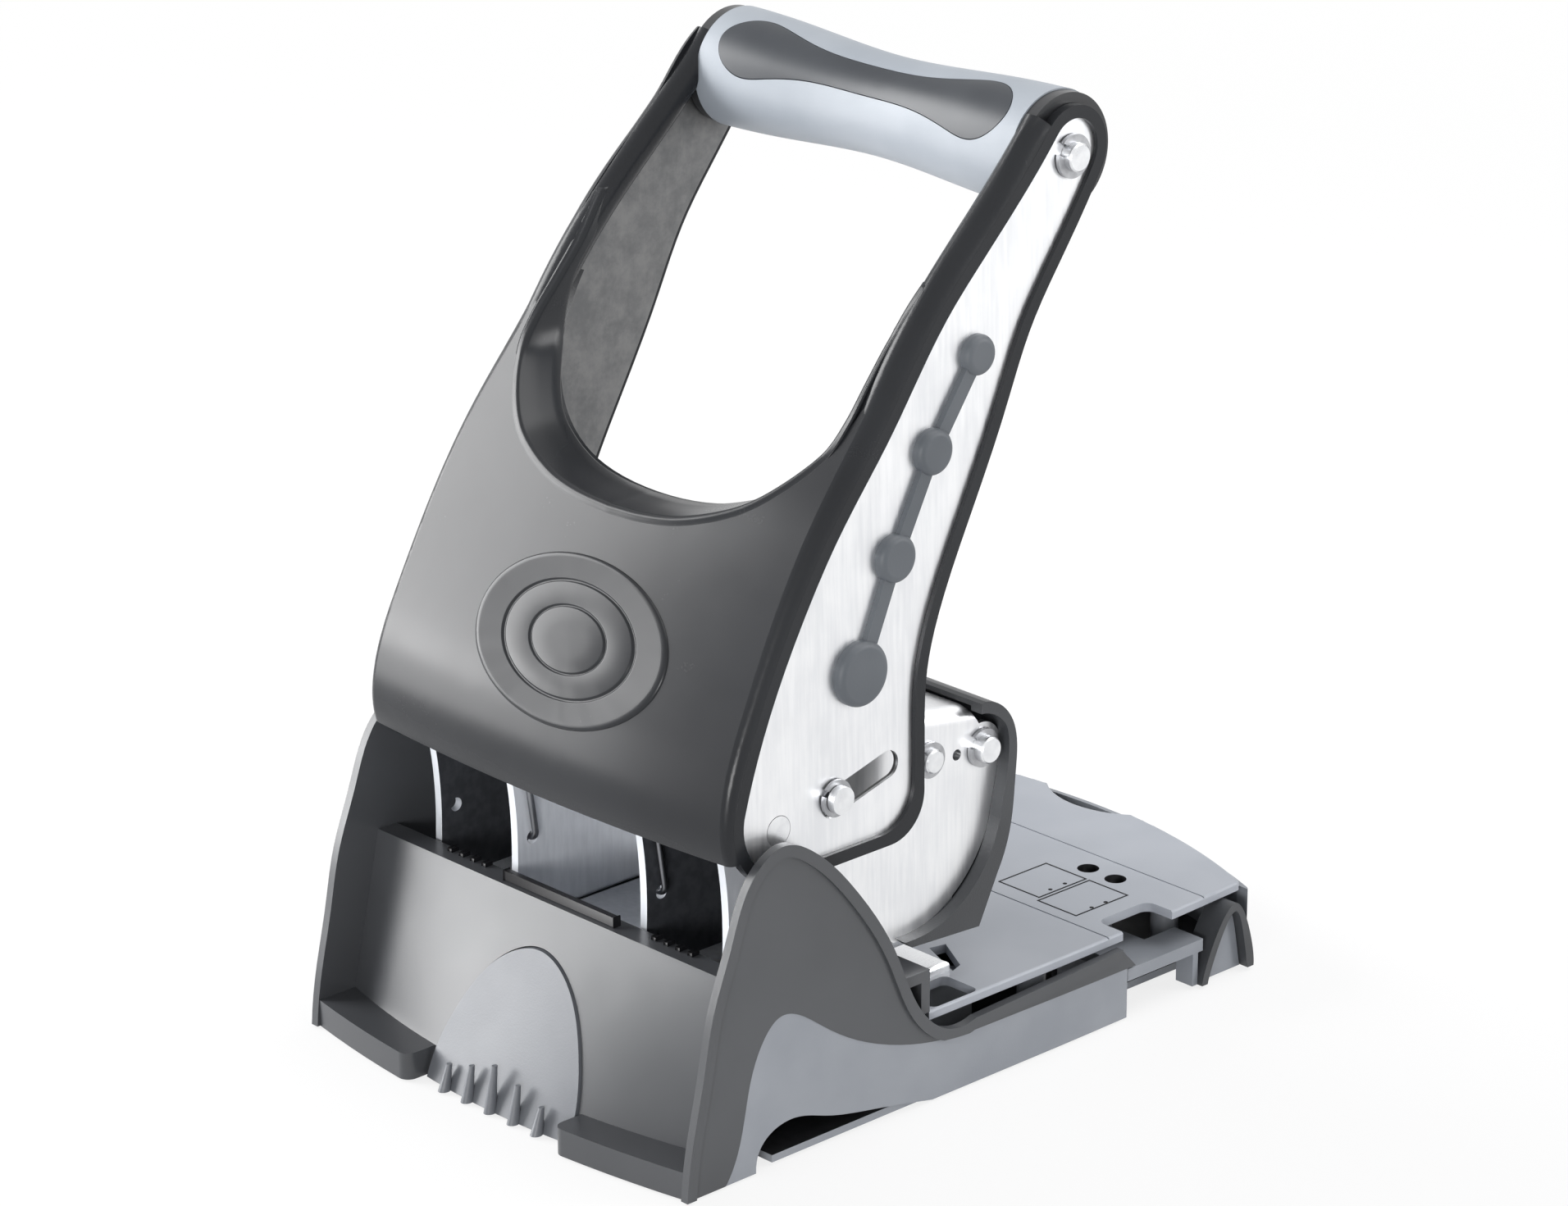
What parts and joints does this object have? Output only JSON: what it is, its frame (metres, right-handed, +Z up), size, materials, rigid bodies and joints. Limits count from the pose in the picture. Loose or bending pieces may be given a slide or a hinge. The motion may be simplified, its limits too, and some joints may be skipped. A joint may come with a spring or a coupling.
{
  "type": "hole punch",
  "caption": "Heavy two-hole desk punch: a tall lever handle presses a rocker that drives two punches into a die, with a sliding paper guide and a pull-out chip tray.",
  "frame": {"origin": "centre of the footprint, on the surface the punch stands on", "axes": "+X to the right, +Y to the rear where the paper goes in, +Z up"},
  "size_m": [0.1468, 0.2265, 0.254],
  "materials": {
    "dark_plastic": "satin moulded",
    "charcoal_plastic": "satin moulded",
    "grey_plastic": "satin moulded",
    "inlay_plastic": "soft matt",
    "bright_steel": "fine brushed",
    "frame_steel": "satin",
    "pin_steel": "turned",
    "spring_steel": "drawn wire",
    "rubber": "matt"
  },
  "bodies": {
    "base": {"housing": "dark_plastic", "lower_shell": "grey_plastic", "paper_deck": "grey_plastic", "die_plate": "bright_steel", "punch_frame_left": "frame_steel", "punch_frame_right": "frame_steel", "punch_guide_left": "pin_steel", "punch_guide_right": "pin_steel", "frame_screws": "pin_steel", "base_screws": "pin_steel", "rubber_feet": "rubber", "rocker_pivot_pin": "pin_steel", "rocker_pivot_clips": "pin_steel", "return_spring_left": "spring_steel", "return_spring_right": "spring_steel"},
    "handle": {"handle_cover": "dark_plastic", "handle_plate_left": "bright_steel", "handle_plate_right": "bright_steel", "handle_inlay_left": "inlay_plastic", "handle_inlay_right": "inlay_plastic", "handle_shaft": "pin_steel", "grip_sleeve": "grey_plastic", "grip_collar_left": "charcoal_plastic", "grip_collar_right": "charcoal_plastic", "grip_rod": "pin_steel", "grip_rod_clips": "pin_steel", "grip_inset": "inlay_plastic"},
    "rocker": {"rocker": "bright_steel", "head_guard": "charcoal_plastic", "drive_pins": "pin_steel", "drive_pin_clips": "pin_steel", "punch_pin": "pin_steel", "punch_pin_clips": "pin_steel"},
    "punch_left": {"punch_left": "pin_steel"},
    "punch_right": {"punch_right": "pin_steel"},
    "chip_tray": {"chip_tray": "grey_plastic"},
    "paper_guide": {"paper_guide": "grey_plastic", "guide_stop": "charcoal_plastic"}
  },
  "joints": [
    {"name": "handle_hinge", "type": "hinge", "parent": "base", "child": "handle", "pos_m": [0, -0.0715, 0.0874], "axis": [-1, 0, 0], "range_deg": [0, 54], "stiffness_Nm_per_rad": 0.6, "springref_deg": -51.57},
    {"name": "rocker_hinge", "type": "hinge", "parent": "base", "child": "rocker", "pos_m": [0, 0.0075, 0.0855], "axis": [1, 0, 0], "range_deg": [0, 22]},
    {"name": "punch_left_slide", "type": "slide", "parent": "base", "child": "punch_left", "axis": [0, 0, -1], "range_m": [0, 0.0073]},
    {"name": "punch_right_slide", "type": "slide", "parent": "base", "child": "punch_right", "axis": [0, 0, -1], "range_m": [0, 0.0073]},
    {"name": "chip_tray_slide", "type": "slide", "parent": "base", "child": "chip_tray", "axis": [0, -1, 0], "range_m": [0, 0.06]},
    {"name": "paper_guide_slide", "type": "slide", "parent": "base", "child": "paper_guide", "axis": [1, 0, 0], "range_m": [0, 0.045]}
  ],
  "couplings": [
    {"joint": "rocker_hinge", "follows": "handle_hinge", "ratio": 0.405},
    {"joint": "punch_left_slide", "follows": "handle_hinge", "m_per_rad": 0.007647},
    {"joint": "punch_right_slide", "follows": "handle_hinge", "m_per_rad": 0.007647}
  ]
}
